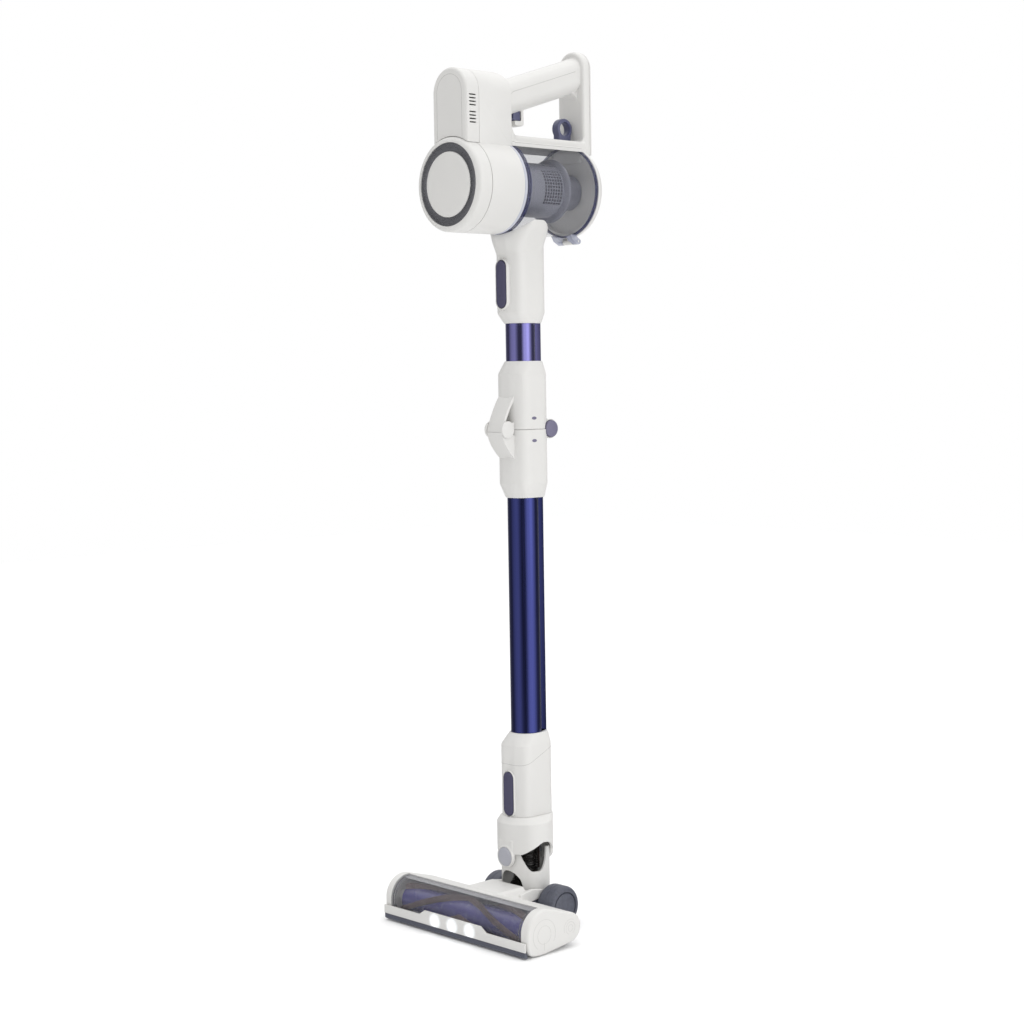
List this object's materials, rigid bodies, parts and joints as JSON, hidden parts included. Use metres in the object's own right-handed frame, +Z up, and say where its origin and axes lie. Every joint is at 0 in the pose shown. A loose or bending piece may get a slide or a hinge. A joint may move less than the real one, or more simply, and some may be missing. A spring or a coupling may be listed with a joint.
{
  "type": "cordless stick vacuum",
  "caption": "Upright cordless stick vacuum with a motor and dust cup unit, a folding wand, a swivelling neck and a lit floor head with a powered brush roll.",
  "frame": {"origin": "on the floor, under the middle of the upright object's box", "axes": "+Z up along the wand, -Y to the front where the head's lights face, +X to the object's left-hand side as it faces the viewer standing in front"},
  "size_m": [0.264, 0.242, 1.1],
  "materials": {
    "white_plastic": "satin moulded plastic",
    "slate_plastic": "satin moulded plastic",
    "slate_wheel": "matte rubber tread on a hard hub",
    "violet_tube": "violet anodised, brushed along its length",
    "violet_roll": "glossy violet roll",
    "bristle_fibre": "dense nylon bristles",
    "plum_button": "satin",
    "slate_blue": "satin",
    "pivot_cap": "satin",
    "black_rubber": "ribbed soft rubber",
    "black_plastic": "satin",
    "clear_smoke": "clear smoky polycarbonate",
    "led_lens": "clear lens, lit",
    "circuit_board": "solder mask",
    "bearing_steel": "ground",
    "motor_metal": "machined",
    "brass_pinion": "machined",
    "dark_mesh": "fine perforated grille",
    "cell_wrap": "shrink wrap",
    "filter_felt": "pleated felt"
  },
  "bodies": {
    "floor_head": {"head_base": "slate_plastic", "head_cover": "white_plastic", "end_cap_left": "white_plastic", "end_cap_right": "white_plastic", "brush_window": "clear_smoke", "front_trim": "white_plastic", "led_board": "circuit_board", "led_lenses": "led_lens", "brush_bearings": "bearing_steel", "head_motor": "motor_metal", "drive_belt": "black_rubber", "axle_pins": "bearing_steel", "head_screws": "bearing_steel"},
    "brush_roll": {"brush_core": "violet_roll", "bristle_strips": "bristle_fibre"},
    "drive_pinion": {"motor_pinion": "brass_pinion"},
    "left_wheel": {"wheel_left": "slate_wheel"},
    "right_wheel": {"wheel_right": "slate_wheel"},
    "left_roller": {"front_roller_left": "black_plastic"},
    "right_roller": {"front_roller_right": "black_plastic"},
    "neck": {"neck_fork": "white_plastic", "hose_lower": "black_rubber"},
    "swivel": {"swivel_shroud": "white_plastic", "swivel_pins": "pivot_cap", "head_connector": "white_plastic", "hose_upper": "black_rubber", "neck_cable": "black_plastic", "lower_button_spring": "bearing_steel"},
    "lower_button": {"lower_release_button": "plum_button"},
    "lower_wand": {"lower_tube": "violet_tube", "fold_lower_housing": "white_plastic", "fold_hinge_pin": "white_plastic", "fold_seal": "black_rubber", "fold_button_spring": "bearing_steel"},
    "left_fold_button": {"fold_button_left": "plum_button"},
    "right_fold_button": {"fold_button_right": "plum_button"},
    "upper_wand": {"fold_upper_housing": "white_plastic", "upper_tube": "violet_tube"},
    "main_unit": {"elbow_duct": "white_plastic", "upper_button_spring": "bearing_steel", "motor_housing": "white_plastic", "front_bezel": "white_plastic", "exhaust_ring": "dark_mesh", "front_disc": "white_plastic", "drive_motor": "motor_metal", "control_board": "circuit_board", "battery_cover": "white_plastic", "battery_cells": "cell_wrap", "cup_ring": "pivot_cap", "handle_frame": "white_plastic", "rear_cover": "white_plastic", "trigger_spring": "bearing_steel", "cyclone": "slate_plastic", "motor_filter": "filter_felt", "dust_cup": "clear_smoke"},
    "upper_button": {"upper_release_button": "plum_button"},
    "trigger_body": {"trigger": "slate_blue"},
    "loop_lever": {"release_loop": "slate_blue"},
    "lid": {"cup_lid": "white_plastic"},
    "fan": {"impeller": "motor_metal"}
  },
  "joints": [
    {"name": "brush_spin", "type": "hinge", "parent": "floor_head", "child": "brush_roll", "pos_m": [0, -0.0895, 0.0255], "axis": [1, 0, 0], "continuous": true},
    {"name": "pinion_spin", "type": "hinge", "parent": "floor_head", "child": "drive_pinion", "pos_m": [0, -0.048, 0.026], "axis": [1, 0, 0], "continuous": true},
    {"name": "left_wheel_spin", "type": "hinge", "parent": "floor_head", "child": "left_wheel", "pos_m": [0, 0.012, 0.026], "axis": [1, 0, 0], "continuous": true},
    {"name": "right_wheel_spin", "type": "hinge", "parent": "floor_head", "child": "right_wheel", "pos_m": [0, 0.012, 0.026], "axis": [1, 0, 0], "continuous": true},
    {"name": "left_roller_spin", "type": "hinge", "parent": "floor_head", "child": "left_roller", "pos_m": [0, -0.1105, 0.0052], "axis": [1, 0, 0], "continuous": true},
    {"name": "right_roller_spin", "type": "hinge", "parent": "floor_head", "child": "right_roller", "pos_m": [0, -0.1105, 0.0052], "axis": [1, 0, 0], "continuous": true},
    {"name": "neck_pitch", "type": "hinge", "parent": "floor_head", "child": "neck", "pos_m": [0, 0.012, 0.026], "axis": [-1, 0, 0], "range_deg": [0, 75], "deforming": ["hose_lower"]},
    {"name": "neck_roll", "type": "hinge", "parent": "neck", "child": "swivel", "pos_m": [0, 0.006, 0.087], "axis": [0, 1, 0], "range_deg": [-35, 35], "deforming": ["hose_upper", "neck_cable"]},
    {"name": "lower_button_press", "type": "slide", "parent": "swivel", "child": "lower_button", "axis": [0, 1, 0], "range_m": [0, 0.0025], "stiffness_N_per_m": 800, "springref_m": -0.002, "deforming": ["lower_button_spring"]},
    {"name": "wand_pull", "type": "slide", "parent": "swivel", "child": "lower_wand", "axis": [0, 0, 1], "range_m": [0, 0.05]},
    {"name": "fold", "type": "hinge", "parent": "lower_wand", "child": "upper_wand", "pos_m": [0, -0.0274, 0.6246], "axis": [1, 0, 0], "range_deg": [0, 90]},
    {"name": "left_fold_button_press", "type": "slide", "parent": "lower_wand", "child": "left_fold_button", "axis": [1, 0, 0], "range_m": [0, 0.0025], "stiffness_N_per_m": 600, "springref_m": -0.002, "deforming": ["fold_button_spring"]},
    {"name": "right_fold_button_press", "type": "slide", "parent": "lower_wand", "child": "right_fold_button", "axis": [-1, 0, 0], "range_m": [0, 0.0025], "stiffness_N_per_m": 600, "springref_m": -0.002, "deforming": ["fold_button_spring"]},
    {"name": "main_unit_pull", "type": "slide", "parent": "upper_wand", "child": "main_unit", "axis": [0, 0, 1], "range_m": [0, 0.035]},
    {"name": "upper_button_press", "type": "slide", "parent": "main_unit", "child": "upper_button", "axis": [0, 1, 0], "range_m": [0, 0.0025], "stiffness_N_per_m": 800, "springref_m": -0.002, "deforming": ["upper_button_spring"]},
    {"name": "trigger_squeeze", "type": "slide", "parent": "main_unit", "child": "trigger_body", "axis": [0, 1, 0], "range_m": [0, 0.0035], "stiffness_N_per_m": 500, "springref_m": -0.002, "deforming": ["trigger_spring"]},
    {"name": "loop_pull", "type": "hinge", "parent": "main_unit", "child": "loop_lever", "pos_m": [0, 0.0897, 0.983], "axis": [1, 0, 0], "range_deg": [0, 20], "stiffness_Nm_per_rad": 0.3, "springref_deg": -11.46},
    {"name": "lid_swing", "type": "hinge", "parent": "main_unit", "child": "lid", "pos_m": [0, 0.099, 0.86], "axis": [-1, 0, 0], "range_deg": [0, 100]},
    {"name": "fan_spin", "type": "hinge", "parent": "main_unit", "child": "fan", "pos_m": [0, 0, 0.922], "axis": [0, 1, 0], "continuous": true}
  ],
  "couplings": [
    {"joint": "pinion_spin", "follows": "brush_spin", "ratio": 1.8}
  ]
}
